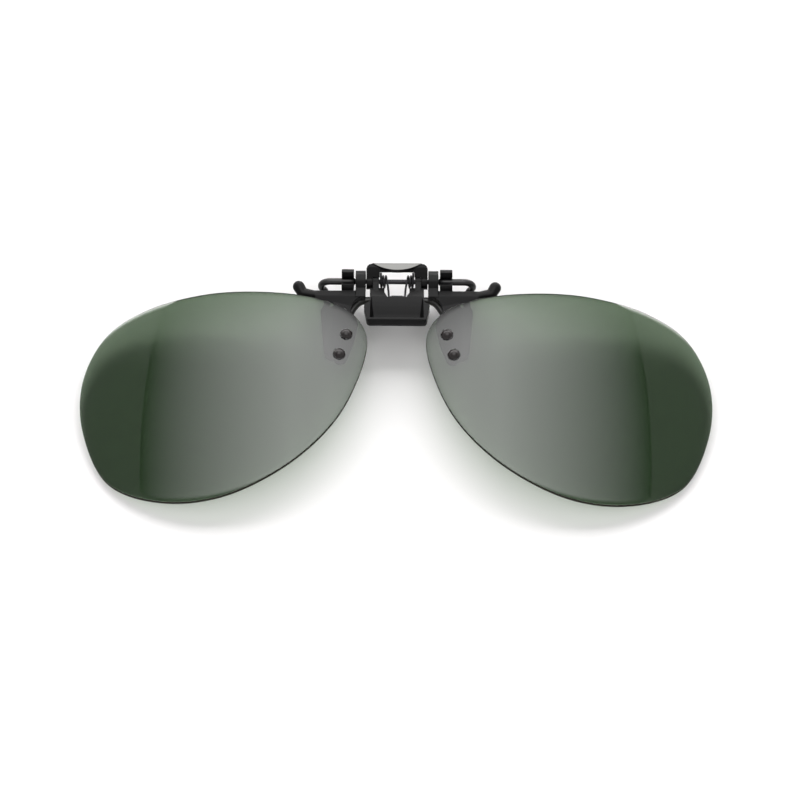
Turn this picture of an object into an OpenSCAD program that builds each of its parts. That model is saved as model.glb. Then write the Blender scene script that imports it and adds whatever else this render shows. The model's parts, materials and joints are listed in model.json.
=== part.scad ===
// Clip-on flip-up sunglasses. They lie on their back on a table: +X to the wearer's left lens side,
// +Y towards the brow, +Z up off the table. The axle wire of the clamp runs along X, and the
// clamp's own frame has its origin on the axle: y up as worn, z forwards, away from the face.

/* [Lens] */
// Width of one lens
lens_w = 58.5; // [56:0.5:60]
// Thickness of a lens
lens_t = 1.1; // [0.9:0.1:1.3]
// Radius of the lens's back face
lens_r = 130; // [124:2:140]
// Angle by which a lens wraps back towards the temple
wrap = 4; // [3:0.5:5]

/* [Arms] */
// Thickness of the arm's plate behind the lens
plate_t = 0.6; // [0.5:0.1:0.8]
// Radius of the closed knuckle
knuckle_r = 2.3; // [2.1:0.05:2.4]
// Radius of the open hook that snaps over the axle sleeve
hook_r = 2.6; // [2.3:0.05:2.6]
// Thickness of the rail's thin outer end
rail_end_t = 1.9; // [1.6:0.1:2]

/* [Clamp] */
// Height of the axle over the surface that the rear pads rest on
axle_h = 4.9; // [4.8:0.05:5.2]
// Radius of the axle wire
wire_r = 0.5; // [0.4:0.05:0.5]
// Radius of the sleeves on the axle wire
sleeve_r = 0.7; // [0.65:0.05:0.8]
// Radius of the sleeves on the front claws
claw_r = 0.75; // [0.7:0.05:0.85]
// Thickness of a rear pad
pad_t = 1.9; // [1.6:0.1:2]
// Length of a rear pad
pad_l = 11.8; // [11:0.2:13]
// Half of the width of the finger lever's neck
neck_x = 5.6; // [5.4:0.1:5.7]
// Half of the width of the finger pad
finger_x = 6.8; // [6.4:0.1:7]

/* [Rivets] */
// Radius of a rivet's domed head
head_r = 1.2; // [1.1:0.05:1.3]
// Radius of a rivet's shank
shank_r = 0.6; // [0.5:0.05:0.7]

/* [Hidden] */
$fn = 64;
eps = 0.01;

// Running clearance of a bore on a wire or sleeve, and the side gap between moving parts
run = 0.05;
gap = 0.15;

black = [0.06, 0.06, 0.065];
rubber = [0.10, 0.10, 0.10];
tint = [0.30, 0.36, 0.30, 0.8];
clear = [0.8, 0.8, 0.8, 0.6];
steel = [0.25, 0.25, 0.26];

// ---- Lens: outline, sphere and resting angle ----

// Outline of a lens, counted from the nose corner along the brow
lens_points = [[6.1, -16.4], [8.8, -8.7], [16.5, -4.9], [28, -3.5], [40, -4], [51.5, -7], [60, -12.8],
    [64.4, -23], [63.7, -34.5], [58, -45.8], [46.5, -50.4], [33.5, -49.2], [20.5, -42], [11, -31]];
lens_steps = 10;
// The lens grows or shrinks about the place where its arm holds it
hold = [11, -12];
hold_z = 1.2;
k = lens_w / 58.5;
control = [for (p = lens_points) hold + k * (p - hold)];
function spline(p0, p1, p2, p3, s) = 0.5 * (2 * p1 + (p2 - p0) * s + (2 * p0 - 5 * p1 + 4 * p2 - p3) * s * s
    + (3 * p1 - p0 - 3 * p2 + p3) * s * s * s);
function closed_spline(p, steps) = let (n = len(p)) [for (i = [0 : n - 1]) for (j = [0 : steps - 1])
    spline(p[(i + n - 1) % n], p[i], p[(i + 1) % n], p[(i + 2) % n], j / steps)];
outline = closed_spline(control, lens_steps);

// Centre of the sphere of both lens faces: the wrap moves it towards the nose
centre_x = hold[0] + k * (35.3 - hold[0]) - lens_r * sin(wrap);
centre_y = hold[1] + k * (-27 - hold[1]);
centre_z = hold_z - sqrt(lens_r * lens_r - pow(hold[0] - centre_x, 2) - pow(hold[1] - centre_y, 2));
centre = [centre_x, centre_y, centre_z];
function back_z(x, y) = centre_z + sqrt(lens_r * lens_r - pow(x - centre_x, 2) - pow(y - centre_y, 2));

// The clamp's frame leans by this angle, where the lenses' edges meet the table
function edge_height(lean) = axle_h + min([for (p = outline) p[1] * sin(lean) + back_z(p[0], p[1]) * cos(lean)]);
function settle(low, high, n) = n == 0 ? (low + high) / 2
    : let (mid = (low + high) / 2) edge_height(mid) > 0 ? settle(mid, high, n - 1) : settle(low, mid, n - 1);
lean = settle(0, 8, 24);

// ---- Places in the clamp's frame ----
knuckle_x = [6.5, 8.6];
hook_x = [8.95, 11.5];
rail_x = 17;
// The nub: the centres and radii of its rounded finger, from the rail's end to its tip
nub = [[16.6, -3.3, -0.05], [19.6, -2.8, 0], [20.4, -1.4, 0.2]];
nub_r = [0.95, 1.15, 1.25];
rivet_at = [[10.5, -13.6], [11.85, -18.4]];
bend_x = 13.96;
bend_big = 1.85;
bend_turn = 180 - acos(0.6);
bend_small = 1.2;
leg_x = bend_x + bend_big * sin(bend_turn) - bend_small * (-cos(bend_turn));
leg_z = -bend_big * (1 - cos(bend_turn)) - bend_small * sin(bend_turn);
pad_top = -4.7;
claw_z = -axle_h + pad_t + 0.1 + claw_r;
claw_y = -3.25;
claw_start = 6.1;
claw_bend = 3;
claw_turn = acos(0.6);
claw_sweep = 10;
claw_end = -15.5;
cheek_x = [3.75, 4.95];
ear_x = [5.05, 6.35];
ring_r = 1.6;
lip_y = -9.5;
lip_z = 2.3;
tip_y = -10.25;
thumb_y = 2.45;
thumb_z = 3.7;
// Thickness of the thumb's crescent, and the height and radius of its lower edge
thumb_t = 1.3;
thumb_low = 0.85;
thumb_round = 8.9;
coil_x = [2.2, 3.35];
coil_r = 1.2;
coil_wire = 0.22;
// The spring's middle loop lies on the notch's floor, in front of a tab
notch_y = -4.3;
loop_at = [notch_y + coil_wire + eps, 0.95];
ear_top = [2.6, 2.5];
// Middle of the whole object's depth: the hooks' or the ears' top to the lenses' lowest points
depth_top = max(hook_r, ear_top[0] * cos(lean) - ear_top[1] * sin(lean));
depth_low = min([for (p = outline) p[1] * cos(lean) - (back_z(p[0], p[1]) + lens_t) * sin(lean)]);
shift_y = -(depth_top + depth_low) / 2;

// The jaw's frame lies level on the table. The lever's and the lenses' frame leans from it.
module level() translate([0, shift_y, axle_h]) children();
module leaning() level() rotate([lean, 0, 0]) children();
// side is -1 for the part at -X and 1 for the part at +X
module sided(side) mirror([side < 0 ? 1 : 0, 0, 0]) children();
// A shape drawn in the Y-Z plane, extruded along X from x0 to x1
module along_x(x0, x1) translate([x0, 0, 0]) rotate([90, 0, 90]) linear_extrude(x1 - x0) children();
module rod_x(x0, x1, r) along_x(x0, x1) circle(r);
// Children stand on the lens's back face over a point, with +Z along the lens's normal
module on_lens(p) {
    a = asin((p[1] - centre_y) / lens_r);
    b = atan2(p[0] - centre_x, back_z(p[0], p[1]) - centre_z);
    translate(centre) rotate([0, b, 0]) rotate([-a, 0, 0]) translate([0, 0, lens_r]) children();
}
function arc(c, r, a0, a1, n) = [for (i = [0 : n]) c + r * [cos(a0 + (a1 - a0) * i / n), sin(a0 + (a1 - a0) * i / n)]];

// ---- Lens assembly ----
module shell(r_out, r_in) translate(centre) difference() {
    sphere(r_out, $fn = 192);
    sphere(r_in, $fn = 192);
}

module lens(side) color(tint) leaning() sided(side) difference() {
    intersection() {
        shell(lens_r + lens_t, lens_r);
        translate([0, 0, -8]) linear_extrude(16) polygon(outline);
    }
    for (p = rivet_at) on_lens(p) translate([0, 0, -1]) cylinder(h = lens_t + 2, r = shank_r + 0.2);
}

// Outline of the arm's plate: from the rail, round the claw's notch, down past both rivets
claw_notch = [[knuckle_x[0], -3.7], [7.5, -3.95], [8.4, -4.5], [9.1, -5.3], [9.55, -6.7]];
plate_outline = concat([[13.2, -3.2], [claw_notch[2][0], -3.2]], [for (i = [2 : 4]) claw_notch[i]],
    [[8.75, -8.7], [8.05, -10.4], [8.9, -15.4]], arc([11.6, -19], 1.4, 195, 315, 6), [[13.2, -18]]);

module arm_plate() difference() {
    intersection() {
        shell(lens_r - eps, lens_r - plate_t);
        translate([0, 0, -8]) linear_extrude(16) polygon(plate_outline);
    }
    for (p = rivet_at) on_lens(p) translate([0, 0, -2]) cylinder(h = 3, r = shank_r + run);
}

module arm_hook() difference() {
    union() {
        rod_x(hook_x[0], hook_x[1], hook_r);
        along_x(hook_x[0], hook_x[1]) polygon([[0, -2.3], [0, 0.4], [-2.6, 0.75], [-3, -1.2]]);
    }
    along_x(hook_x[0] - 1, hook_x[1] + 1) union() {
        // The mouth, narrower than the sleeve, faces forwards
        rotate(100) translate([0, -sleeve_r * 0.92]) square([4, sleeve_r * 1.84]);
        rotate(100) polygon([[0.9, -0.3], [3.9, -2.7], [3.9, 2.7], [0.9, 0.3]]);
    }
}

module arm_knuckle() difference() {
    union() {
        rod_x(knuckle_x[0], knuckle_x[1], knuckle_r);
        along_x(knuckle_x[0], knuckle_x[1]) polygon([[0, -2], [0, 1.4], [-2.4, 1.1], [-3.9, 0.9], [-3.9, -0.9]]);
    }
    rod_x(knuckle_x[0] - 1, knuckle_x[1] + 1, wire_r + run);
}

// The rail: a bar with a level front and a gusset that slants back to the plate. It ends in the nub.
rail_side = [[-2.35, 0.5], [-2.6, 0.78], [-3.7, 0.9], [-6.8, -0.2], [-6.8, -0.7], [-4.4, -0.9], [-2.6, -0.9],
    [-2.35, -0.7]];
rail_front = concat([[rail_x, -2], [knuckle_x[0], -2]], claw_notch,
    [[13.2, -7.2], [13.2, -5.35], [rail_x, -2.4 - rail_end_t]]);
module arm_rail() {
    intersection() {
        along_x(knuckle_x[0], rail_x) polygon(rail_side);
        translate([0, 0, -8]) linear_extrude(16) polygon(rail_front);
    }
    for (i = [0 : 2]) translate(nub[i]) sphere(nub_r[i], $fn = 32);
    for (i = [0 : 1]) link(nub[i], nub[i + 1], nub_r[i], nub_r[i + 1]);
}

// A straight rod between two points, tapered from r0 to r1
module link(a, b, r0, r1) {
    d = b - a;
    translate(a) rotate([0, acos(d[2] / norm(d)), atan2(d[1], d[0])]) cylinder(h = norm(d), r1 = r0, r2 = r1, $fn = 32);
}

module arm(side) color(black) leaning() sided(side) {
    difference() {
        union() {
            arm_rail();
            arm_knuckle();
            arm_hook();
        }
        // Room for the sleeve, the wire and the lens's back face
        rod_x(knuckle_x[1], 30, sleeve_r + run);
        rod_x(0, knuckle_x[1] + 0.1, wire_r + run);
        lens_room();
    }
    arm_plate();
}

// The space that the lens takes, and in front of it
module lens_room() intersection() {
    difference() {
        translate([0, -30, -1]) cube([70, 30, 8]);
        translate(centre) sphere(lens_r, $fn = 96);
    }
    translate([0, 0, -8]) linear_extrude(16) polygon(outline);
}

module rivet(side, i) color(black) leaning() sided(side) on_lens(rivet_at[i]) {
    translate([0, 0, -plate_t - 0.3 - run]) cylinder(h = 0.3, r1 = 0.7, r2 = 0.95);
    translate([0, 0, -plate_t - 0.1]) cylinder(h = plate_t + lens_t + 0.35, r = shank_r);
    translate([0, 0, lens_t + 0.2]) intersection() {
        translate([0, 0, -0.75]) sphere(1.45);
        cylinder(h = 1, r = head_r);
    }
}

module washer(side, i) color(clear) leaning() sided(side) on_lens(rivet_at[i]) difference() {
    union() {
        translate([0, 0, 0.02]) cylinder(h = lens_t, r = shank_r + 0.18);
        translate([0, 0, lens_t + 0.02]) cylinder(h = 0.18, r = head_r + 0.1);
    }
    translate([0, 0, -1]) cylinder(h = 4, r = shank_r);
}

// ---- Rear jaw ----
module ring(r, bore) difference() {
    circle(r);
    if (bore > 0) circle(bore);
}

// All of space on one side of the plane x = 0: side is -1 for -X and 1 for +X
module half(side) translate([side < 0 ? -40 : 0, -20, -20]) cube([40, 40, 40]);

// A bend of a wire, from the origin along +X and round towards -Y. Children go on from the bend's end, along +X.
module bend(radius, turn, r, bore) translate([0, -radius, 0]) {
    intersection() {
        rotate([0, 0, 180]) rotate_extrude() translate([radius, 0]) ring(r, bore);
        half(1);
        rotate([0, 0, -turn]) half(-1);
    }
    rotate([0, 0, -turn]) translate([0, radius, 0]) children();
}

// The wire, or a sleeve with a bore: from x0 on the axle, round a big bend backwards and inwards, round a
// small one, and down a leg
module bent_wire(x0, y_end, r, bore) {
    along_x(x0, bend_x) ring(r, bore);
    translate([bend_x, 0, 0]) rotate([90, 0, 0]) bend(bend_big, bend_turn, r, bore)
        rotate([-90, 0, 0]) bend(bend_small, 90, r, bore) along_x(0, -y_end - bend_small) ring(r, bore);
}

module axle_wire() color(steel) level() for (side = [-1, 1]) sided(side) bent_wire(0, pad_low + 2, wire_r, 0);

module axle_sleeve(side) color(black) level() sided(side) bent_wire(knuckle_x[1] + gap, pad_top, sleeve_r, wire_r);

pad_low = pad_top - pad_l;
pad_outline = concat(arc([15, pad_top - 0.9], 0.9, 0, 90, 5), arc([11.4, pad_top - 1.2], 1.2, 90, 180, 5),
    arc([11.9, pad_low + 1.6], 1.6, 180, 270, 6), arc([13.4, pad_low + 1.7], 1.7, 270, 360, 6));

module rear_pad(side) color(rubber) level() sided(side) difference() {
    translate([0, 0, -axle_h]) linear_extrude(pad_t) polygon(pad_outline);
    translate([leg_x, 0, leg_z]) rotate([90, 0, 0]) cylinder(h = -pad_low - 2, r = wire_r);
}

// Front view of the ears' outer corners, which slant in towards the thumb plate
ear_front = [[0, -3], [ear_x[1], -3], [ear_x[1], 1.5], [6.15, 2], [5.7, 2.35], [5, thumb_y + 0.05], [5, 4], [0, 4]];
module upper_lever() color(black) leaning() {
    for (side = [-1, 1]) sided(side) difference() {
        intersection() {
            union() {
                rod_x(ear_x[0], ear_x[1], ring_r);
                along_x(3.6, ear_x[1])
                    polygon([[-0.1, 1.62], [0.9, 2.75], [1.7, 3.25], [thumb_y, 3.45], ear_top, [1.5, 0]]);
            }
            translate([0, 0, -3]) linear_extrude(8) polygon(ear_front);
        }
        rod_x(3, ear_x[0], ring_r + 0.2);
        rod_x(3, 8, wire_r);
    }
    thumb_plate();
}

// A plate between the ears, under the crescent that the thumb presses
module thumb_plate() {
    along_x(-4, 4) polygon([[0.95, 2.4], [2.3, 3.3], ear_top, [1.35, 1.8]]);
    translate([0, 0, thumb_z - thumb_t]) linear_extrude(thumb_t) intersection() {
        translate([0, thumb_low + thumb_round]) circle(thumb_round, $fn = 96);
        polygon([[-5.2, thumb_y], [-5.5, thumb_y - 0.4], [-5, 0], [5, 0], [5.5, thumb_y - 0.4], [5.2, thumb_y]]);
    }
}

// ---- Front jaw ----
lever_side = [[-1.95, 1], [-4.1, 1.45], [-5.3, 2], [lip_y, lip_z], [-9.95, lip_z + 0.05], [tip_y + 0.12, 1.5],
    [tip_y, 0.7], [tip_y - 0.1, -0.1], [-9.4, -0.5], [-6.4, -0.9], [-5.5, -3.1], [-2.3, -3.1], [-1.95, -2.6]];
// The scoop's floor and everything in front of it
scoop_side = [[-4.15, 1.48], [-6.5, 1.25], [-9, 0.45], [-9.25, 0.6], [-9.45, 1.2], [lip_y, 4], [-4.15, 4]];
lever_front = concat([[neck_x, -1.9], [neck_x, -5.6]], arc([finger_x - 0.5, -6.6], 0.5, 70, -5, 4),
    arc([finger_x - 1.35, tip_y + 0.8], 0.8, -10, -90, 6));

notch = [[-1.95, notch_y], [1.95, notch_y], [2.6, -3.1], [2.6, 0.1], [-2.6, 0.1], [-2.6, -3.1]];

module lower_lever() color(black) leaning() {
    difference() {
        intersection() {
            along_x(-8, 8) polygon(lever_side);
            for (side = [0, 1]) mirror([side, 0, 0]) translate([0, 0, -5]) linear_extrude(10)
                polygon(concat([[-eps, tip_y], [-eps, -1.9]], lever_front));
        }
        // Notch for the spring, clear of its coils
        translate([0, 0, -5]) linear_extrude(10) polygon(notch);
        rod_x(-cheek_x[0] + 0.05, cheek_x[0] - 0.05, 2);
        // The scoop, with slanted side walls
        intersection() {
            along_x(-8, 8) polygon(scoop_side);
            scoop_walls();
        }
        // Cross hole for the front wire
        rotate([-lean, 0, 0]) translate([0, claw_y, claw_z]) rod_x(-8, 8, wire_r);
    }
    // Knuckle cheeks on the axle
    for (side = [-1, 1]) sided(side) difference() {
        union() {
            rod_x(cheek_x[0], cheek_x[1], ring_r);
            along_x(cheek_x[0], cheek_x[1]) polygon([[0, 1.55], [-2, 1.21], [-2.6, 1.2], [-2.6, -2.4], [0, -1.6]]);
        }
        rod_x(3, 6, wire_r + run);
    }
    // Tab behind the spring's middle loop
    along_x(-1.15, 1.15) polygon([[notch_y - 0.1, 0.1], [-3.55, 0.2], [-3.55, 0.65], [notch_y - 0.1, 0.7]]);
}

// The side walls lean outwards from the scoop's floor
module scoop_walls() translate([0, -2, 0]) rotate([90, 0, 0]) linear_extrude(9)
    polygon([[-4.7, 0], [4.7, 0], [4.9, 0.7], [5.7, 2.6], [-5.7, 2.6], [-4.9, 0.7]]);

// A claw's centre line: along the front wire from x0, round a tight and a wide bend, and down to claw_end
claw_low = claw_y - claw_bend + (claw_bend - claw_sweep) * cos(claw_turn);
module claw(x0, r, bore) translate([0, claw_y, claw_z]) {
    along_x(x0, claw_start) ring(r, bore);
    translate([claw_start, 0, 0]) bend(claw_bend, claw_turn, r, bore) bend(claw_sweep, 90 - claw_turn, r, bore) {
        along_x(0, claw_low - claw_end) ring(r, bore);
        translate([claw_low - claw_end, 0, 0]) children();
    }
}

module front_wire() color(steel) level() for (side = [-1, 1]) sided(side) claw(0, wire_r, 0);

// The sleeve's end is closed and tapered
module front_sleeve(side) color(rubber) level() sided(side) claw(neck_x + 0.02, claw_r, wire_r)
    rotate([0, 90, 0]) cylinder(h = 0.6, r1 = claw_r, r2 = 0.55 * claw_r);

// ---- Spring: one wire swept along its path ----
// One side's path: up against the thumb plate, round the axle inwards, and down in front of the tab
coil_from = 132.7;
coil_to = 93.5 + 720;
coil_steps = 38;
leg_end = [0.83, 2.4];
function coil_point(i) = let (a = coil_from + (coil_to - coil_from) * i / coil_steps)
    [coil_x[1] + (coil_x[0] - coil_x[1]) * i / coil_steps, coil_r * cos(a), coil_r * sin(a)];
half_path = concat([[coil_x[1], leg_end[0], leg_end[1]]], [for (i = [0 : coil_steps]) coil_point(i)],
    [[1.95, -1.2, 1.13], [1.75, -2.8, 1.03], [1.68, loop_at[0] + 0.3, loop_at[1]],
    [1.58, loop_at[0] + 0.07, loop_at[1]], [1.35, loop_at[0], loop_at[1]], [0.7, loop_at[0], loop_at[1]]]);
spring_path = concat(half_path, [for (i = [len(half_path) - 1 : -1 : 0])
    [-half_path[i][0], half_path[i][1], half_path[i][2]]]);

function unit(v) = v / norm(v);
function tangent(p, i) = unit(p[min(i + 1, len(p) - 1)] - p[max(i - 1, 0)]);
// Side vectors carried along the path, each turned as little as possible from the last
function carried(p, i, v) = let (t = tangent(p, i), s = unit(v - (v * t) * t))
    i == len(p) - 1 ? [s] : concat([s], carried(p, i + 1, s));
module sweep(p, r, sides) {
    v = carried(p, 0, [1, 0.1, 0]);
    n = len(p);
    rings = [for (i = [0 : n - 1]) let (t = tangent(p, i), w = cross(t, v[i])) for (j = [0 : sides - 1])
        p[i] + r * (cos(360 * j / sides) * v[i] + sin(360 * j / sides) * w)];
    walls = [for (i = [0 : n - 2]) for (j = [0 : sides - 1]) let (q = (j + 1) % sides)
        [i * sides + j, (i + 1) * sides + j, (i + 1) * sides + q, i * sides + q]];
    ends = [[for (j = [0 : sides - 1]) j], [for (j = [sides - 1 : -1 : 0]) (n - 1) * sides + j]];
    polyhedron(rings, concat(walls, ends), convexity = 10);
}

module torsion_spring() color(steel) leaning() sweep(spring_path, coil_wire, 8);

lens(-1);  // lens_left
lens(1);  // lens_right
arm(-1);  // arm_left
arm(1);  // arm_right
rivet(-1, 0);  // rivet_left_upper
rivet(-1, 1);  // rivet_left_lower
rivet(1, 0);  // rivet_right_upper
rivet(1, 1);  // rivet_right_lower
washer(-1, 0);  // washer_left_upper
washer(-1, 1);  // washer_left_lower
washer(1, 0);  // washer_right_upper
washer(1, 1);  // washer_right_lower
axle_wire();
axle_sleeve(-1);  // axle_sleeve_left
axle_sleeve(1);  // axle_sleeve_right
rear_pad(-1);  // rear_pad_left
rear_pad(1);  // rear_pad_right
upper_lever();
lower_lever();
front_wire();
front_sleeve(-1);  // front_sleeve_left
front_sleeve(1);  // front_sleeve_right
torsion_spring();
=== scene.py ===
import json
import math

import bmesh
import bpy
from mathutils import Matrix, Vector


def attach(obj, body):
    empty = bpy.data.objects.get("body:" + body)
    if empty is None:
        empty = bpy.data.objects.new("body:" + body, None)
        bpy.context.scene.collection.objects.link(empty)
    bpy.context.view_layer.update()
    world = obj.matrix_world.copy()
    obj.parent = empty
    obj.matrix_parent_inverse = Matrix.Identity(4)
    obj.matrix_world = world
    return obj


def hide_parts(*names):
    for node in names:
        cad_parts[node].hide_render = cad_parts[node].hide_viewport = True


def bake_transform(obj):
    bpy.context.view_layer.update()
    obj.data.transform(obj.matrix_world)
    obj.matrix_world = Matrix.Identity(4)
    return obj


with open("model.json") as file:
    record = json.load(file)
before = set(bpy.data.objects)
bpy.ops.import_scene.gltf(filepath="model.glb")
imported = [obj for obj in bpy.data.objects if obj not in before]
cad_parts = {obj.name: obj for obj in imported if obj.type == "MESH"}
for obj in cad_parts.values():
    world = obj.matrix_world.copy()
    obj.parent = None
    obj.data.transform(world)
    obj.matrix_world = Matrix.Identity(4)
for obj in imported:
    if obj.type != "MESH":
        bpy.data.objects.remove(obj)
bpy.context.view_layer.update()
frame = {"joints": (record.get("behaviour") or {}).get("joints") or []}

# Clip-on sunglasses on their back. Sizes are in millimetres in the clamp's own frame, as in the CAD source:
# the origin is on the axle, X runs along it, Y goes up as worn, Z goes away from the face.
MM = 0.001
AXLE = Vector(frame["joints"][0]["pos_m"])
# The clamp leans forward so far that the pads and the lenses' lower edges both rest on the table
LEAN = math.radians(3.088)
# Left and right as seen from the front
SIDES = {"left": -1, "right": 1}
# A span that reaches through the whole part
THROUGH = (-8, 8)

# ---- Sizes of the lenses and arms ----
# The lens: radius of its back face, thickness, wrap in degrees, and the outline's points, clockwise
LENS_R, LENS_T, WRAP = 130, 1.1, 4
LENS_POINTS = [(6.1, -16.4), (8.8, -8.7), (16.5, -4.9), (28, -3.5), (40, -4), (51.5, -7), (60, -12.8),
               (64.4, -23), (63.7, -34.5), (58, -45.8), (46.5, -50.4), (33.5, -49.2), (20.5, -42), (11, -31)]
LENS_MIDDLE = Vector((35.3, -27))
# The back face passes through this point
HOLD, HOLD_Z = (11, -12), 1.2
# The glass stops short of its ground edge by LENS_GAP and has a small bevel. The ground edge is a band with
# (depth, part of the thickness) for each of its layers.
LENS_GAP, LENS_BEVEL = 0.03, 0.05
EDGE_LAYERS = [(0.06, 0.1), (0.03, 0.1), (0.01, 0.15), (0.01, 0.85), (0.03, 0.9), (0.06, 0.9)]
RIVETS = {"upper": (10.5, -13.6), "lower": (11.85, -18.4)}
# A rivet: radii of its head, dome and shank, how far the dome's centre lies below the lens's front face,
# and the height of its back head's end
HEAD_R, DOME_R, SHANK_R, DOME_DROP = 1.2, 1.45, 0.6, 0.55
PLATE_T = 0.6
BACK_HEAD = -PLATE_T - 0.35
KNUCKLE_X, KNUCKLE_R = (6.5, 8.6), 2.3
HOOK_X, HOOK_R = (8.95, 11.5), 2.6
RAIL_X, RAIL_END = 17, 1.9
# The nub's rounded finger: centres and radii from the rail's end to its tip
NUB = [((16.6, -3.3, -0.05), 0.95), ((19.6, -2.8, 0), 1.15), ((20.4, -1.4, 0.2), 1.25)]
# The hook's mouth: its direction in degrees, the width of its throat as a part of the sleeve's, and the
# flare's outline at the mouth
MOUTH_TURN, THROAT = 100, 0.92
MOUTH_FLARE = [(0.9, -0.3), (3.9, -2.7), (3.9, 2.7), (0.9, 0.3)]
# The webs, seen along X, that join the knuckle and the hook to the rail
KNUCKLE_WEB = [(0, -2), (0, 1.4), (-2.4, 1.1), (-3.9, 0.9), (-3.9, -0.9)]
HOOK_WEB = [(0, -2.3), (0, 0.4), (-2.6, 0.75), (-3, -1.2)]

# ---- Sizes of the clamp ----
# Wires, their sleeves, the running clearance of a bore, and the side gap between moving parts
WIRE_R, SLEEVE_R, CLAW_R, RUN, SIDE_GAP = 0.5, 0.7, 0.75, 0.05, 0.15
# The axle wire's bends down to the rear pads
BEND_X, BEND_BIG, BEND_TURN, BEND_SMALL = 13.96, 1.85, 126.87, 1.2
PAD_TOP, PAD_L, PAD_T = -4.7, 11.8, 1.9
PAD_LOW = PAD_TOP - PAD_L
AXLE_H = AXLE.z / MM
# The front wire's course: its line in the lever, a tight bend, a long sweep, and the claw's end
CLAW_Y, CLAW_Z = -3.25, -AXLE_H + PAD_T + 0.1 + CLAW_R
CLAW_START, CLAW_BEND, CLAW_TURN, CLAW_SWEEP, CLAW_END = 6.1, 3, 53.13, 10, -15.5
# The finger lever: half widths of its neck and pad, its tip and lip, its cheeks, and its notch
NECK_X, FINGER_X, TIP_Y, LIP_Y, LIP_Z = 5.6, 6.8, -10.25, -9.5, 2.3
CHEEK_X, NOTCH_Y = (3.75, 5.03), -4.3
# The thumb lever: its ears, the ring round the axle, and the crescent plate between the ears
EAR_X, RING_R, EAR_TOP = (5.05, 6.35), 1.6, (2.6, 2.5)
THUMB_Y, THUMB_Z, THUMB_T, THUMB_LOW, THUMB_ROUND = 2.45, 3.7, 1.3, 0.85, 8.9
# The spring: each coil's inner and outer place, its radius, its wire's radius, its first and last angle,
# and the loop between the coils
COIL_X, COIL_R, COIL_WIRE, COIL_TURN = (2.2, 3.35), 1.2, 0.22, (132.7, 93.5 + 720)
COIL_STEPS, LEG_END, LOOP_Y, LOOP_Z = 76, (0.83, 2.4), -4.07, 0.95

# ---- Sizes of the stage, in metres, and strengths of its light ----
FLOOR_HALF = 6.0
KEY_LIGHT, BACK_LIGHT, FILL_LIGHT, ROOM_LIGHT = 4.4, 8.0, 0.9, 0.3
# The softbox is bright to the first distance from its middle and fades out by the second. Along Y it comes
# up between the first two places and fades between the last two.
SOFTBOX_X, SOFTBOX_Y, SOFTBOX_Z = (0.015, 0.14), (-0.045, -0.02, 0.11, 0.27), 0.18
CAMERA_RISE, CAMERA_ROLL = math.radians(58.9), math.radians(0.4)
CAMERA_DISTANCE, CAMERA_LENS, CAMERA_SENSOR, CAMERA_NEAR = 0.6, 129.6, 36, 0.01
# Where the world's lights begin and end. BACK_REACH, FRONT_REACH, RIM_REACH and SIDE_REACH are a direction's
# run back or sideways for each unit of its height. HORIZON is a direction's height.
BACK_REACH, FRONT_REACH, RIM_REACH, SIDE_REACH = (1.0, 1.3), (-0.6, -0.3), (1.2, 2.4), (0.7, 1.4)
HORIZON = (0.2, 0.35)
# How far right of the axle and below it the camera aims
AIM_RIGHT, AIM_DOWN = 0.000625, 0.0246


# ---- Frames ----

def sin(degrees):
    return math.sin(math.radians(degrees))


def cos(degrees):
    return math.cos(math.radians(degrees))


LEVEL = Matrix.Translation(AXLE) @ Matrix.Scale(MM, 4)
LEANING = Matrix.Translation(AXLE) @ Matrix.Rotation(LEAN, 4, "X") @ Matrix.Scale(MM, 4)


def sided(place, side):
    return place @ Matrix.Diagonal((side, 1, 1, 1))


# ---- Meshes ----

def mesh_object(name, verts, faces, place=Matrix.Identity(4)):
    """A mesh moved by place. A closed one gets its normals outwards."""
    bm = bmesh.new()
    made = [bm.verts.new(place @ Vector(v)) for v in verts]
    for face in faces:
        bm.faces.new([made[i] for i in face])
    bmesh.ops.recalc_face_normals(bm, faces=bm.faces)
    data = bpy.data.meshes.new(name)
    bm.to_mesh(data)
    bm.free()
    obj = bpy.data.objects.new(name, data)
    bpy.context.scene.collection.objects.link(obj)
    return obj


def lofted(name, rings, place=Matrix.Identity(4), capped=True, looped=False):
    """A skin over rings with equal numbers of points."""
    n = len(rings[0])
    count = len(rings)
    verts = [v for ring in rings for v in ring]
    faces = []
    for i in range(count if looped else count - 1):
        a, b = i * n, (i + 1) % count * n
        faces += [(a + j, b + j, b + (j + 1) % n, a + (j + 1) % n) for j in range(n)]
    if capped:
        faces += [tuple(range(n)), tuple(range((count - 1) * n, count * n))]
    return mesh_object(name, verts, faces, place)


def circle(radius, count):
    turns = [360 * i / count for i in range(count)]
    return [(radius * cos(a), radius * sin(a)) for a in turns]


def arc(centre, radius, start, end, steps):
    return [(centre[0] + radius * cos(start + (end - start) * i / steps),
             centre[1] + radius * sin(start + (end - start) * i / steps)) for i in range(steps + 1)]


def along_x(points, x0, x1):
    """A shape drawn in the Y-Z plane, extruded along X."""
    return lofted("part", [[(x, y, z) for y, z in points] for x in (x0, x1)])


def along_z(points, z0, z1):
    """A shape drawn in the X-Y plane, extruded along Z."""
    return lofted("part", [[(x, y, z) for x, y in points] for z in (z0, z1)])


def rod(x0, x1, radius):
    return along_x(circle(radius, 64), x0, x1)


def ball(centre, radius, rows=24):
    rings = [[(centre[0] + radius * sin(t) * x, centre[1] + radius * sin(t) * y, centre[2] + radius * cos(t))
              for x, y in circle(1, 2 * rows)] for t in [180 * (i + 0.5) / rows for i in range(rows)]]
    return lofted("part", rings)


def discard(obj):
    data = obj.data
    bpy.data.objects.remove(obj)
    bpy.data.meshes.remove(data)


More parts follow.
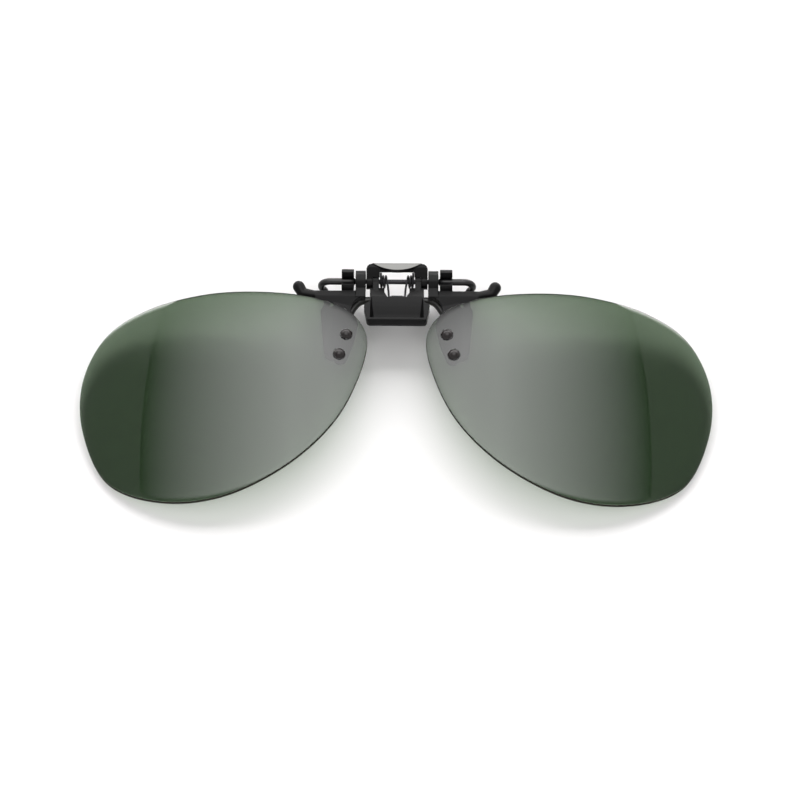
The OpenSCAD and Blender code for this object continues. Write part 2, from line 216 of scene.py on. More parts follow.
def applied(obj):
    """The object with its modifiers applied."""
    data = bpy.data.meshes.new_from_object(obj.evaluated_get(bpy.context.evaluated_depsgraph_get()))
    old = obj.data
    obj.modifiers.clear()
    obj.data = data
    bpy.data.meshes.remove(old)
    return obj


def boolean(obj, tool, operation):
    cut = obj.modifiers.new("cut", "BOOLEAN")
    cut.operation = operation
    cut.solver = "EXACT"
    cut.object = tool
    applied(obj)
    discard(tool)
    return obj


def minus(obj, *tools):
    for tool in tools:
        boolean(obj, tool, "DIFFERENCE")
    return obj


def within(obj, tool):
    return boolean(obj, tool, "INTERSECT")


def merged(*parts):
    """One object from several, with their overlaps left in."""
    bm = bmesh.new()
    for part in parts:
        bm.from_mesh(part.data)
        discard(part)
    data = bpy.data.meshes.new("part")
    bm.to_mesh(data)
    bm.free()
    obj = bpy.data.objects.new("part", data)
    bpy.context.scene.collection.objects.link(obj)
    return obj


def smooth_shading(obj):
    for face in obj.data.polygons:
        face.use_smooth = True
    return obj


# The share of a moulded part's faces that is kept
KEPT_FACES = 0.3


def moulded(name, part, place, grain=0.06, softness=5):
    """A part in one skin with its edges rounded, as it comes from a mould, and then placed."""
    remesh = part.modifiers.new("skin", "REMESH")
    remesh.mode = "VOXEL"
    remesh.voxel_size = grain
    round_off = part.modifiers.new("round", "SMOOTH")
    round_off.iterations = softness
    thin = part.modifiers.new("thin", "DECIMATE")
    thin.ratio = KEPT_FACES
    applied(part)
    part.name = name
    part.data.name = name
    part.data.transform(place)
    if place.determinant() < 0:
        part.data.flip_normals()
    return smooth_shading(part)


# ---- Lens surface ----

def spline(p0, p1, p2, p3, s):
    return 0.5 * (2 * p1 + (p2 - p0) * s + (2 * p0 - 5 * p1 + 4 * p2 - p3) * s * s
                  + (3 * p1 - p0 - 3 * p2 + p3) * s ** 3)


def closed_spline(points, steps):
    n = len(points)
    p = [Vector(q) for q in points]
    return [spline(p[i - 1], p[i], p[(i + 1) % n], p[(i + 2) % n], j / steps)
            for i in range(n) for j in range(steps)]


# The centre of the lens's spheres
CENTRE_X = LENS_MIDDLE.x - LENS_R * sin(WRAP)
CENTRE_Y = LENS_MIDDLE.y
CENTRE_Z = HOLD_Z - math.sqrt(LENS_R ** 2 - (HOLD[0] - CENTRE_X) ** 2 - (HOLD[1] - CENTRE_Y) ** 2)


def sphere_z(x, y, radius):
    return CENTRE_Z + math.sqrt(radius ** 2 - (x - CENTRE_X) ** 2 - (y - CENTRE_Y) ** 2)


def inset(outline, distance):
    """The outline moved inwards. It runs clockwise."""
    n = len(outline)
    moved = []
    for i in range(n):
        along = (outline[(i + 1) % n] - outline[i - 1]).normalized()
        moved.append(outline[i] + distance * Vector((along.y, -along.x)))
    return moved


def lens_rings(outline, rings, bevel):
    """Rings from the middle of the back face, round the edge, to the middle of the front face."""
    faces = []
    small = inset(outline, bevel)
    shrink = [0.015] + [(i / rings) for i in range(1, rings + 1)]
    for radius, order in ((LENS_R, shrink), (LENS_R + LENS_T, shrink[::-1])):
        face = []
        for s in order:
            ring = [LENS_MIDDLE + s * (p - LENS_MIDDLE) for p in small]
            face.append([(p.x, p.y, sphere_z(p.x, p.y, radius)) for p in ring])
        faces.append(face)
    edge = []
    for turn in range(1, 12):
        a = -90 + 15 * turn
        half = 1 if a > 0 else -1 if a < 0 else 0
        height = 0.5 + (0.5 - bevel / LENS_T) * half + bevel / LENS_T * sin(a)
        edge.append(layer(inset(outline, bevel * (1 - cos(a))), height))
    return faces[0] + edge + faces[1]


def layer(outline, height):
    """The outline at a part of the lens's thickness above its back face."""
    return [(p.x, p.y, sphere_z(p.x, p.y, LENS_R) * (1 - height)
             + sphere_z(p.x, p.y, LENS_R + LENS_T) * height) for p in outline]


LENS_OUTLINE = closed_spline(LENS_POINTS, 14)


def lens(side):
    rings = lens_rings(inset(LENS_OUTLINE, LENS_GAP), 24, LENS_BEVEL)
    return smooth_shading(lofted("lens", rings, sided(LEANING, side)))


def lens_edge(side):
    """The ground edge of the lens, a thin band round it."""
    layers = [layer(inset(LENS_OUTLINE, depth), height) for depth, height in EDGE_LAYERS]
    return smooth_shading(lofted("edge", layers, sided(LEANING, side), capped=False, looped=True))


def slab(low, high, x, y, steps=(16, 30)):
    """A block whose lower and upper faces follow the lens's back face at two heights over it."""
    columns = [x[0] + (x[1] - x[0]) * i / steps[0] for i in range(steps[0] + 1)]
    rows = [y[0] + (y[1] - y[0]) * j / steps[1] for j in range(steps[1] + 1)]
    rings = []
    for cx in columns:
        under = [(cx, cy, sphere_z(cx, cy, LENS_R) + low) for cy in rows]
        over = [(cx, cy, sphere_z(cx, cy, LENS_R) + high) for cy in reversed(rows)]
        rings.append(under + over)
    return lofted("part", rings)


def on_lens(point):
    """The frame on the lens's back face over a point, with Z along the face's normal."""
    x, y = point
    a = math.asin((y - CENTRE_Y) / LENS_R)
    b = math.atan2(x - CENTRE_X, sphere_z(x, y, LENS_R) - CENTRE_Z)
    turn = Matrix.Rotation(b, 4, "Y") @ Matrix.Rotation(-a, 4, "X")
    return Matrix.Translation((CENTRE_X, CENTRE_Y, CENTRE_Z)) @ turn @ Matrix.Translation((0, 0, LENS_R))


# ---- Turned pieces and wires ----

def lathe(name, profile, place, count=48):
    """A profile of (radius, height) turned about Z. It ends on the axis or closes on itself."""
    if profile[0][0] == profile[-1][0] == 0:
        rings = [[(r * x, r * y, h) for x, y in circle(1, count)] for r, h in profile[1:-1]]
        return smooth_shading(lofted(name, rings, place))
    rings = [[(r * x, r * y, h) for x, y in circle(1, count)] for r, h in profile]
    return smooth_shading(lofted(name, rings, place, capped=False, looped=True))


# A wire's ends: each ring's distance from the tip and its radius, both in the wire's radii
CUT_END = [(0, 0.82), (0.12, 1)]
ROUND_END = [(0, 0.15), (0.05, 0.35), (0.2, 0.62), (0.45, 0.84), (0.75, 0.97), (1, 1)]


def swept(name, path, radius, place, sides=20, end=CUT_END):
    """A round wire along a path, with the same kind of end at both ends."""
    path = [Vector(p) for p in path]
    after, before = path[1:] + path[-1:], path[:1] + path[:-1]
    tangents = [(b - a).normalized() for a, b in zip(before, after)]
    across = Vector((0.3, 0.2, 1)).cross(tangents[0]).normalized()
    rings = []
    for point, tangent in zip(path, tangents):
        across = (across - across.dot(tangent) * tangent).normalized()
        up = tangent.cross(across)
        rings.append([point + radius * (x * across + y * up) for x, y in circle(1, sides)])
    lead = [(back * radius, part) for back, part in end]

    def cap(ring, point, direction):
        return [[point + direction * (back - lead[-1][0]) * -1 + part * (v - point) for v in ring]
                for back, part in lead[:-1]]
    first = cap(rings[0], path[0], -tangents[0])
    last = cap(rings[-1], path[-1], tangents[-1])
    return smooth_shading(lofted(name, first + rings + last[::-1], place))


class Pen:
    """Draws a wire's path: straight lengths and bends in one plane at a time."""

    def __init__(self, start, heading, side):
        self.at = Vector(start)
        self.heading = Vector(heading)
        self.side = Vector(side)
        self.path = [self.at.copy()]

    def go(self, length, steps=1):
        for _ in range(steps):
            self.at = self.at + self.heading * length / steps
            self.path.append(self.at.copy())
        return self

    def turn(self, radius, degrees, towards=None, step=7.5):
        if towards is not None:
            self.side = Vector(towards)
        centre = self.at + self.side * radius
        steps = math.ceil(degrees / step)
        heading, side = self.heading.copy(), self.side.copy()
        for i in range(1, steps + 1):
            a = degrees * i / steps
            self.heading = heading * cos(a) + side * sin(a)
            self.side = side * cos(a) - heading * sin(a)
            self.at = centre - self.side * radius
            self.path.append(self.at.copy())
        return self


def axle_path(x0, y_end):
    pen = Pen((x0, 0, 0), (1, 0, 0), (0, 0, -1))
    pen.go(BEND_X - x0, 4).turn(BEND_BIG, BEND_TURN).turn(BEND_SMALL, 90, (0, -1, 0))
    return pen.go(pen.at.y - y_end, 6).path


def claw_path(x0, y_end):
    pen = Pen((x0, CLAW_Y, CLAW_Z), (1, 0, 0), (0, -1, 0))
    pen.go(CLAW_START - x0, 3).turn(CLAW_BEND, CLAW_TURN).turn(CLAW_SWEEP, 90 - CLAW_TURN, step=3)
    return pen.go(pen.at.y - y_end, 3).path


def mirrored_path(path):
    """The whole wire from the path of its +X half, which starts at x = 0."""
    return [(-p[0], p[1], p[2]) for p in path[:0:-1]] + [tuple(p) for p in path]


# ---- Arms ----

# Outlines seen from above: the notch that clears the claw, the plate behind the lens, and the rail's front
CLAW_NOTCH = [(KNUCKLE_X[0], -3.7), (7.5, -3.95), (8.4, -4.5), (9.1, -5.3), (9.55, -6.7)]
PLATE_OUTLINE = ([(13.2, -3.2), (8.4, -3.2)] + CLAW_NOTCH[2:] + [(8.75, -8.7), (8.05, -10.4), (8.9, -15.4)]
                 + arc((11.6, -19), 1.4, 195, 315, 6) + [(13.2, -18)])
RAIL_FRONT = ([(RAIL_X, -2), (KNUCKLE_X[0], -2)] + CLAW_NOTCH
              + [(13.2, -7.2), (13.2, -5.35), (RAIL_X, -2.4 - RAIL_END)])
# The rail's outline seen along X
RAIL_SIDE = [(-2.35, 0.5), (-2.6, 0.78), (-3.7, 0.9), (-6.8, -0.2), (-6.8, -0.7), (-4.4, -0.9), (-2.6, -0.9),
             (-2.35, -0.7)]


def tapered(a, ra, b, rb):
    """A cone's length between two centres with their radii."""
    a, b = Vector(a), Vector(b)
    turn = (b - a).to_track_quat("Z", "Y").to_matrix()

    def ring(centre, radius):
        return [centre + turn @ Vector((radius * x, radius * y, 0)) for x, y in circle(1, 40)]
    return lofted("part", [ring(a, ra), ring(b, rb)])


def turned_shape(points, degrees):
    """A shape in the Y-Z plane, turned about the axle."""
    return [(y * cos(degrees) - z * sin(degrees), y * sin(degrees) + z * cos(degrees)) for y, z in points]


def arm(side):
    rail = within(along_x(RAIL_SIDE, KNUCKLE_X[0], RAIL_X), along_z(RAIL_FRONT, *THROUGH))
    nub = [ball(p, r) for p, r in NUB] + [tapered(*NUB[i], *NUB[i + 1]) for i in range(2)]
    knuckle = [rod(*KNUCKLE_X, KNUCKLE_R), along_x(KNUCKLE_WEB, *KNUCKLE_X)]
    hook = [rod(*HOOK_X, HOOK_R), along_x(HOOK_WEB, *HOOK_X)]
    body = one_skin(merged(rail, *nub, *knuckle, *hook))
    gap = SLEEVE_R * THROAT
    mouth = HOOK_X[0] - SIDE_GAP, HOOK_X[1] + SIDE_GAP
    throat = [(0, -gap), (4, -gap), (4, gap), (0, gap)]
    lens_room = within(slab(0, 8, (6, 24), (-24, -2)), along_z(LENS_OUTLINE, *THROUGH))
    minus(body, rod(KNUCKLE_X[1], 30, SLEEVE_R + RUN), rod(0, 9, WIRE_R + RUN),
          along_x(turned_shape(throat, MOUTH_TURN), *mouth),
          along_x(turned_shape(MOUTH_FLARE, MOUTH_TURN), *mouth), lens_room)
    plate = within(slab(-PLATE_T, -0.01, (6, 14), (-21, -3)), along_z(PLATE_OUTLINE, *THROUGH))
    return moulded("arm", merged(body, plate), sided(LEANING, side))


def one_skin(obj, grain=0.05):
    """Overlapping closed parts joined into one closed skin."""
    remesh = obj.modifiers.new("skin", "REMESH")
    remesh.mode = "VOXEL"
    remesh.voxel_size = grain
    return applied(obj)


# ---- Rivets ----

def rivet(side, point):
    """The domed head, its rim, the shank, and the flat head behind the plate."""
    low = LENS_T - DOME_DROP
    dome = [(DOME_R * sin(a), low + DOME_R * cos(a)) for a in range(6, 55, 6)]
    rim = [(HEAD_R, LENS_T + 0.28), (HEAD_R, LENS_T + 0.23), (HEAD_R - 0.04, LENS_T + 0.2)]
    shank = [(SHANK_R, LENS_T + 0.2), (SHANK_R, BACK_HEAD + 0.3)]
    back = [(0.93, BACK_HEAD + 0.28), (0.93, BACK_HEAD + 0.23), (0.7, BACK_HEAD + 0.02), (0.64, BACK_HEAD)]
    profile = [(0, low + DOME_R)] + dome + rim + shank + back + [(0, BACK_HEAD)]
    return lathe("rivet", profile, sided(LEANING, side) @ on_lens(point))


def washer(side, point):
    """The clear flange between a rivet's head and the lens."""
    bore, rim = SHANK_R + 0.02, HEAD_R + 0.1
    low, high = LENS_T + 0.02, LENS_T + 0.19
    outside = [(rim - 0.03, low), (rim, low + 0.03), (rim, high - 0.04), (rim - 0.05, high)]
    profile = [(bore, low)] + outside + [(bore, high)]
    return lathe("washer", profile, sided(LEANING, side) @ on_lens(point))


# ---- Clamp ----

# A rear pad seen from above, wider at its foot
PAD_OUTLINE = (arc((15, PAD_TOP - 0.9), 0.9, 0, 90, 5) + arc((11.4, PAD_TOP - 1.2), 1.2, 90, 180, 5)
               + arc((11.9, PAD_LOW + 1.6), 1.6, 180, 270, 6) + arc((13.4, PAD_LOW + 1.7), 1.7, 270, 360, 6))


def rear_pad(side):
    pad = along_z(PAD_OUTLINE, -AXLE_H, -AXLE_H + PAD_T)
    return moulded("rear_pad", pad, sided(LEVEL, side), softness=8)


# An ear's outline seen from above and along X, and the web under the crescent
EAR_FRONT = [(0, -3), (EAR_X[1], -3), (EAR_X[1], 1.5), (6.15, 2), (5.7, 2.35), (5, THUMB_Y + 0.05), (5, 4),
             (0, 4)]
EAR_SIDE = [(-0.1, 1.62), (0.9, 2.75), (1.7, 3.25), (THUMB_Y, 3.45), EAR_TOP, (1.5, 0)]
WEB_SIDE = [(0.95, 2.4), (2.3, 3.3), EAR_TOP, (1.35, 1.8)]
# How far in towards the middle an ear reaches over the lower lever's cheek
EAR_REACH = 3.6
# The light grey sheet on the crescent, a painted sheen for the black plate's reflection: its thickness, its
# inset from the plate's edge, and its gap over the plate
FACE_T, FACE_INSET, FACE_GAP = 0.3, 0.05, 0.04


def mirrored_outline(points):
    return points + [(-x, y) for x, y in reversed(points)]


def both_ways(side, x0, x1):
    """Two places along X, mirrored for the left side and in rising order."""
    return sorted((side * x0, side * x1))


def upper_lever():
    ears = []
    for side in SIDES.values():
        ring = rod(*both_ways(side, *EAR_X), RING_R)
        cheek = along_x(EAR_SIDE, *both_ways(side, EAR_REACH, EAR_X[1]))
        front = along_z([(side * x, y) for x, y in EAR_FRONT], -3, 5)
        ear = within(one_skin(merged(ring, cheek)), front)
        ears.append(minus(ear, rod(*both_ways(side, 3, EAR_X[0]), RING_R + 0.2)))
    plate = crescent(THUMB_Z - THUMB_T, THUMB_Z - FACE_GAP, 0)
    body = merged(*ears, along_x(WEB_SIDE, -4, 4), plate)
    return moulded("upper_lever", body, LEANING, grain=0.05, softness=4)


def crescent(z0, z1, margin):
    """The thumb's plate between two heights: a round edge below, cut off level above, inset by margin."""
    ends = [(-5.2, THUMB_Y), (-5.5, THUMB_Y - 0.4), (-5, 0), (5, 0), (5.5, THUMB_Y - 0.4), (5.2, THUMB_Y)]
    ends = [(x * (1 - margin / 5), y - margin) for x, y in ends]
    edge = [(x, y + THUMB_LOW + THUMB_ROUND) for x, y in circle(THUMB_ROUND - margin, 192)]
    return within(along_z(edge, z0, z1), along_z(ends, 0, 5))


def painted_sheen_face():
    """A light grey sheet on the thumb's plate: painted sheen, standing in for the black plate's reflection.
    """
    face = crescent(THUMB_Z - FACE_T, THUMB_Z, FACE_INSET)
    rim = face.modifiers.new("rim", "BEVEL")
    rim.width = FACE_INSET
    rim.segments = 3
    applied(face).data.transform(LEANING)
    return face


# The finger lever seen along X, the scoop cut into its pad seen along X and along Y, and the notch for the
# spring seen from above
LEVER_SIDE = [(-1.95, 1), (-4.1, 1.55), (-5.3, 2), (LIP_Y, LIP_Z), (-9.95, LIP_Z + 0.05),
              (TIP_Y + 0.12, 1.5), (TIP_Y, 0.7), (TIP_Y - 0.1, -0.1), (-9.4, -0.5), (-6.4, -0.9),
              (-5.5, -3.1), (-2.3, -3.1), (-1.95, -2.6)]
SCOOP_SIDE = [(-4.15, 1.58), (-4.6, 1.52), (-5.4, 1.36), (-6.3, 1.12), (-7.2, 0.84), (-8, 0.58), (-8.7, 0.4),
              (-9.05, 0.42), (-9.3, 0.75), (-9.45, 1.3), (LIP_Y, 4), (-4.15, 4)]
SCOOP_FRONT = [(-4.7, 0), (4.7, 0), (4.9, 0.7), (5.7, 2.6), (-5.7, 2.6), (-4.9, 0.7)]
NOTCH = [(-1.95, NOTCH_Y), (1.95, NOTCH_Y), (2.6, -3.1), (2.6, 0.1), (-2.6, 0.1), (-2.6, -3.1)]
# Half of the lever's outline seen from above, a cheek seen along X, and the tab behind the spring's loop
LEVER_HALF = ([(NECK_X, -1.9), (NECK_X, -5.6)] + arc((FINGER_X - 0.5, -6.6), 0.5, 70, -5, 4)
              + arc((FINGER_X - 1.35, TIP_Y + 0.8), 0.8, -10, -90, 6))
CHEEK_SIDE = [(0, 1.55), (-2, 1.21), (-2.6, 1.2), (-2.6, -2.4), (0, -1.6)]
TAB_SIDE = [(NOTCH_Y - 0.1, 0.1), (-3.55, 0.2), (-3.55, 0.65), (NOTCH_Y - 0.1, 0.7)]
TAB_X = 1.15


def lower_lever():
    body = within(along_x(LEVER_SIDE, *THROUGH), along_z(mirrored_outline(LEVER_HALF), -5, 5))
    walls = lofted("part", [[(x, y, z) for x, z in SCOOP_FRONT] for y in (-11, -2)])
    coil_room = CHEEK_X[0] - RUN
    scoop = within(along_x(SCOOP_SIDE, *THROUGH), walls)
    minus(body, along_z(NOTCH, -5, 5), rod(-coil_room, coil_room, 2), scoop)
    cheeks = []
    for side in SIDES.values():
        place = both_ways(side, *CHEEK_X)
        cheeks += [rod(*place, RING_R), along_x(CHEEK_SIDE, *place)]
    tab = along_x(TAB_SIDE, -TAB_X, TAB_X)
    return moulded("lower_lever", merged(body, *cheeks, tab), LEANING, grain=0.05, softness=4)


def spring_path():
    """Half of the spring: its leg, its coil from the outside in, and the loop as far as the middle."""
    path = [(COIL_X[1], *LEG_END)]
    for i in range(COIL_STEPS + 1):
        a = COIL_TURN[0] + (COIL_TURN[1] - COIL_TURN[0]) * i / COIL_STEPS
        x = COIL_X[1] + (COIL_X[0] - COIL_X[1]) * i / COIL_STEPS
        path.append((x, COIL_R * cos(a), COIL_R * sin(a)))
    path += [(2.12, -0.4, 1.18), (1.95, -1.2, 1.13), (1.84, -2, 1.08), (1.75, -2.8, 1.03),
             (1.71, -3.4, 0.98)]
    bend = [(1.68, 0.3), (1.64, 0.15), (1.54, 0.04), (1.4, 0), (0.7, 0), (0, 0)]
    return path + [(x, LOOP_Y + up, LOOP_Z) for x, up in bend]


# ---- Materials ----

def material(name):
    made = bpy.data.materials.new(name)
    made.use_nodes = True
    return made, made.node_tree.nodes, made.node_tree.links


# The depth of a moulded surface's grain, in metres
GRAIN_DEPTH = 0.00002


def math_node(nodes, links, operation, a, b):
    """The result of an operation on two values, each a number or another node's output."""
    node = nodes.new("ShaderNodeMath")
    node.operation = operation
    for socket, value in zip(node.inputs, (a, b)):
        if isinstance(value, (int, float)):
            socket.default_value = value
        else:
            links.new(value, socket)
    return node.outputs[0]


def ramp(nodes, links, value, low, high, start, end, smooth=True):
    """A value that goes from start to end as another goes from low to high."""
    node = nodes.new("ShaderNodeMapRange")
    node.interpolation_type = "SMOOTHSTEP" if smooth else "LINEAR"
    for key, number in (("From Min", low), ("From Max", high), ("To Min", start), ("To Max", end)):
        node.inputs[key].default_value = number
    links.new(value, node.inputs["Value"])
    return node.outputs["Result"]


def grain_roughness(nodes, links, skin, scale, detail, low, high):
    """Roughness that varies by noise in the object's own space. Returns the noise."""
    place = nodes.new("ShaderNodeTexCoord")
    noise = nodes.new("ShaderNodeTexNoise")
    noise.inputs["Scale"].default_value = scale
    noise.inputs["Detail"].default_value = detail
    links.new(place.outputs["Object"], noise.inputs["Vector"])
    rough = nodes.new("ShaderNodeMapRange")
    rough.inputs["To Min"].default_value = low
    rough.inputs["To Max"].default_value = high
    links.new(noise.outputs["Fac"], rough.inputs["Value"])
    links.new(rough.outputs["Result"], skin.inputs["Roughness"])
    return noise.outputs["Fac"]


def finish_of(name, color, roughness, spread, grain, bump, metallic=0.0, specular=0.5):
    """A surface whose roughness and height vary a little."""
    made, nodes, links = material(name)
    skin = nodes["Principled BSDF"]
    skin.inputs["Base Color"].default_value = (*color, 1)
    skin.inputs["Metallic"].default_value = metallic
    skin.inputs["Specular IOR Level"].default_value = specular
    noise = grain_roughness(nodes, links, skin, grain, 4, roughness - spread, roughness + spread)
    height = nodes.new("ShaderNodeBump")
    height.inputs["Strength"].default_value = bump
    height.inputs["Distance"].default_value = GRAIN_DEPTH
    links.new(noise, height.inputs["Height"])
    links.new(height.outputs["Normal"], skin.inputs["Normal"])
    return made


def clear_finish(name, tint, ior, roughness, spread, specular=0.5):
    """Clear or tinted plastic. Shadow rays and light from the floor pass straight through each face."""
    made, nodes, links = material(name)
    skin = nodes["Principled BSDF"]
    skin.inputs["Base Color"].default_value = (*tint, 1)
    skin.inputs["Transmission Weight"].default_value = 1
    skin.inputs["IOR"].default_value = ior
    skin.inputs["Specular IOR Level"].default_value = specular
    grain_roughness(nodes, links, skin, 60, 2, roughness, roughness + spread)
    through = nodes.new("ShaderNodeBsdfTransparent")
    through.inputs["Color"].default_value = (*[math.sqrt(c) for c in tint], 1)
    rays = nodes.new("ShaderNodeLightPath").outputs
    mix = nodes.new("ShaderNodeMixShader")
    straight = math_node(nodes, links, "MAXIMUM", rays["Is Shadow Ray"], rays["Is Diffuse Ray"])
    links.new(straight, mix.inputs["Fac"])
    links.new(skin.outputs["BSDF"], mix.inputs[1])
    links.new(through.outputs["BSDF"], mix.inputs[2])
    links.new(mix.outputs["Shader"], nodes["Material Output"].inputs["Surface"])
    return made


FINISHES = {
    "lens_tint": clear_finish("lens_tint", (0.13, 0.18, 0.12), 1.58, 0.0, 0.004),
    "clear_washer": clear_finish("clear_washer", (0.12, 0.12, 0.11), 1.49, 0.05, 0.05, specular=0.15),
    "clip_plastic": finish_of("clip_plastic", (0.004, 0.004, 0.0042), 0.34, 0.04, 2500, 0.2, specular=0.12),
    "rivet_black": finish_of("rivet_black", (0.008, 0.005, 0.005), 0.28, 0.04, 1500, 0.1, specular=0.3),
    "wire_steel": finish_of("wire_steel", (0.03, 0.03, 0.032), 0.35, 0.06, 1800, 0.1, metallic=1.0),
    "spring_steel": finish_of("spring_steel", (0.025, 0.025, 0.027), 0.35, 0.06, 1800, 0.1, metallic=1.0),
    "sleeve_black": finish_of("sleeve_black", (0.008, 0.008, 0.008), 0.33, 0.05, 1500, 0.15, specular=0.35),
    "soft_rubber": finish_of("soft_rubber", (0.03, 0.03, 0.028), 0.4, 0.06, 2000, 0.2),
}
# The thumb plate's face is light grey: a painted sheen standing in for the black plastic's reflection
PAINTED_SHEEN = finish_of("thumb_painted_sheen", (0.17, 0.17, 0.16), 0.3, 0.03, 3000, 0.03, specular=0.7)
EDGE = finish_of("lens_edge", (0.014, 0.012, 0.009), 0.6, 0.1, 2500, 0.1, specular=0.05)
CLAW = finish_of("claw_sleeve", (0.05, 0.05, 0.047), 0.3, 0.05, 1500, 0.1, specular=0.4)


def place_piece(obj, name, node, body, slot, finish=None):
    """The piece stands for a CAD node, takes its finish and moves with its body, or, without a body, stays
    where it is placed.
    """
    obj.name = name
    obj.data.name = name
    obj.data.materials.clear()
    obj.data.materials.append(finish or FINISHES[slot])
    if body:
        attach(obj, body)
    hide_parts(node)


def make_object():
    for word, side in SIDES.items():
        shade = word + "_shade"
        place_piece(lens(side), "lens_skin_" + word, "lens_" + word, shade, "lens_tint")
        place_piece(lens_edge(side), "lens_edge_" + word, "lens_" + word, shade, "lens_tint", EDGE)
        place_piece(arm(side), "arm_skin_" + word, "arm_" + word, shade, "clip_plastic")
        for row, point in RIVETS.items():
            tag = word + "_" + row
            place_piece(rivet(side, point), "rivet_head_" + tag, "rivet_" + tag, shade, "rivet_black")
            place_piece(washer(side, point), "washer_ring_" + tag, "washer_" + tag, shade, "clear_washer")
        level = sided(LEVEL, side)
        path = axle_path(KNUCKLE_X[1] + SIDE_GAP, PAD_TOP)
        sleeve = swept("sleeve", path, SLEEVE_R, level, 28)
        place_piece(sleeve, "axle_sleeve_skin_" + word, "axle_sleeve_" + word, "rear_jaw", "sleeve_black")
        place_piece(rear_pad(side), "rear_pad_skin_" + word, "rear_pad_" + word, "rear_jaw", "soft_rubber")
        claw = swept("claw", claw_path(NECK_X + 0.02, CLAW_END - 0.6), CLAW_R, level, 28, ROUND_END)
        name = "front_sleeve_skin_" + word
        place_piece(claw, name, "front_sleeve_" + word, "clamp_front", "soft_rubber", CLAW)
    wire = swept("wire", mirrored_path(axle_path(0, PAD_LOW + 2)), WIRE_R, LEVEL)
    place_piece(wire, "axle_wire_skin", "axle_wire", "rear_jaw", "wire_steel")
    wire = swept("wire", mirrored_path(claw_path(0, CLAW_END)), WIRE_R, LEVEL)
    place_piece(wire, "front_wire_skin", "front_wire", "clamp_front", "wire_steel")
    place_piece(upper_lever(), "upper_lever_skin", "upper_lever", "rear_jaw", "clip_plastic")
    # The thumb plate's light grey face is painted sheen, standing in for the black plate's reflection
    place_piece(painted_sheen_face(), "painted_sheen_face", "upper_lever", "rear_jaw", "clip_plastic", PAINTED_SHEEN)
    place_piece(lower_lever(), "lower_lever_skin", "lower_lever", "clamp_front", "clip_plastic")
    # The spring twists between the jaws, its legs on the rear one and its loop on the front one. It is
    # attached to no body and stays where it is placed.
    for word, side in SIDES.items():
        name = "torsion_spring_" + word
        spring = swept("spring", spring_path(), COIL_WIRE, sided(LEANING, side), 12)
        place_piece(spring, name, "torsion_spring", None, "spring_steel")
        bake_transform(spring)


# ---- Stage ----

def floor():
    w = FLOOR_HALF
    obj = mesh_object("floor", [(-w, -w, 0), (w, -w, 0), (w, w, 0), (-w, w, 0)], [(0, 1, 2, 3)])
    if obj.data.polygons[0].normal.z < 0:
        obj.data.flip_normals()
    made, nodes, _ = material("floor_paper")
    skin = nodes["Principled BSDF"]
    skin.inputs["Base Color"].default_value = (0.93, 0.93, 0.93, 1)
    skin.inputs["Roughness"].default_value = 0.9
    skin.inputs["Specular IOR Level"].default_value = 0.1
    obj.data.materials.append(made)


def softbox():
    """A soft light over the table that fades to its sides. It shows in gloss only."""
    x, y = SOFTBOX_X[1], SOFTBOX_Y
    obj = mesh_object("softbox", [(-x, y[0], SOFTBOX_Z), (x, y[0], SOFTBOX_Z), (x, y[3], SOFTBOX_Z),
                                  (-x, y[3], SOFTBOX_Z)], [(0, 1, 2, 3)])
    made, nodes, links = material("softbox_cloth")
    nodes.remove(nodes["Principled BSDF"])
    glow = nodes.new("ShaderNodeEmission")
    where = nodes.new("ShaderNodeTexCoord")
    split = nodes.new("ShaderNodeSeparateXYZ")
    links.new(where.outputs["Object"], split.inputs[0])
    off = math_node(nodes, links, "ABSOLUTE", split.outputs[0], 0.0)
    fade = ramp(nodes, links, off, *SOFTBOX_X, KEY_LIGHT, 0.0, smooth=False)
    near = ramp(nodes, links, split.outputs[1], y[0], y[1], 0.0, 1.0)
    far = ramp(nodes, links, split.outputs[1], y[2], y[3], 1.0, 0.0)
    total = math_node(nodes, links, "MULTIPLY", math_node(nodes, links, "MULTIPLY", fade, near), far)
    links.new(total, glow.inputs["Strength"])
    links.new(glow.outputs["Emission"], nodes["Material Output"].inputs["Surface"])
    obj.data.materials.append(made)
    obj.visible_camera = obj.visible_diffuse = obj.visible_transmission = obj.visible_shadow = False


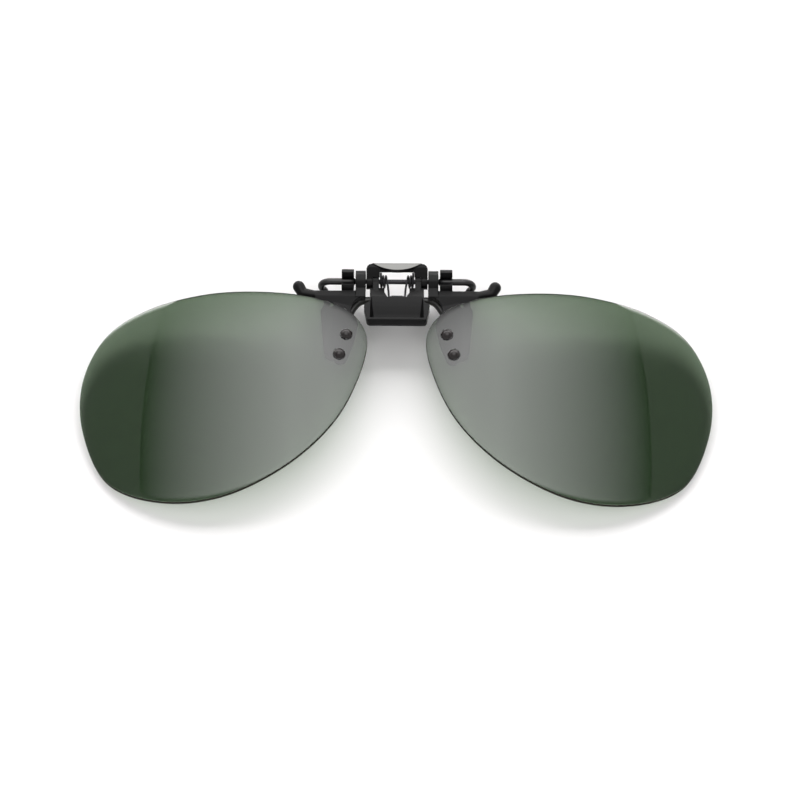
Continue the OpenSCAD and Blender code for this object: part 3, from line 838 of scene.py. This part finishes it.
def studio_light():
    """A broad light low behind the table, a fill from the front and sides, and a darker room overhead."""
    world = bpy.data.worlds.new("studio")
    bpy.context.scene.world = world
    world.use_nodes = True
    nodes, links = world.node_tree.nodes, world.node_tree.links
    where = nodes.new("ShaderNodeTexCoord")
    split = nodes.new("ShaderNodeSeparateXYZ")
    links.new(where.outputs["Generated"], split.inputs[0])

    def of(operation, a, b):
        return math_node(nodes, links, operation, a, b)

    def over(value, low, high, start, end):
        return ramp(nodes, links, value, low, high, start, end)

    x, y, z = split.outputs
    height = of("MAXIMUM", z, 0.05)
    across = of("ABSOLUTE", of("DIVIDE", x, height), 0.0)
    back = of("DIVIDE", y, height)
    low = of("MULTIPLY", over(back, *BACK_REACH, 0.0, 1.0), over(z, *HORIZON, 0.0, 1.0))
    rim = of("MULTIPLY", low, over(across, *RIM_REACH, BACK_LIGHT, 0.0))
    front = over(back, *FRONT_REACH, FILL_LIGHT, 0.0)
    sides = over(across, *SIDE_REACH, 0.0, FILL_LIGHT)
    fill = of("MAXIMUM", front, sides)
    total = of("ADD", of("ADD", rim, fill), ROOM_LIGHT)
    links.new(total, nodes["Background"].inputs["Strength"])
    nodes["Background"].inputs["Color"].default_value = (1, 0.985, 0.985, 1)


def camera():
    data = bpy.data.cameras.new("camera")
    data.lens = CAMERA_LENS
    data.sensor_width = CAMERA_SENSOR
    data.clip_start = CAMERA_NEAR
    obj = bpy.data.objects.new("camera", data)
    bpy.context.scene.collection.objects.link(obj)
    ahead = Vector((0, math.cos(CAMERA_RISE), -math.sin(CAMERA_RISE)))
    level = Vector((1, 0, 0))
    rise = Vector((0, math.sin(CAMERA_RISE), math.cos(CAMERA_RISE)))
    right = math.cos(CAMERA_ROLL) * level + math.sin(CAMERA_ROLL) * rise
    down = math.sin(CAMERA_ROLL) * level - math.cos(CAMERA_ROLL) * rise
    obj.location = AXLE - ahead * CAMERA_DISTANCE
    aim = (ahead * CAMERA_DISTANCE + right * AIM_RIGHT + down * AIM_DOWN).normalized()
    right = (right - right.dot(aim) * aim).normalized()
    turn = Matrix((right, right.cross(aim), -aim)).transposed()
    obj.rotation_euler = turn.to_euler()
    bpy.context.scene.camera = obj


make_object()
floor()
softbox()
studio_light()
camera()
bpy.context.scene.view_settings.view_transform = "Standard"
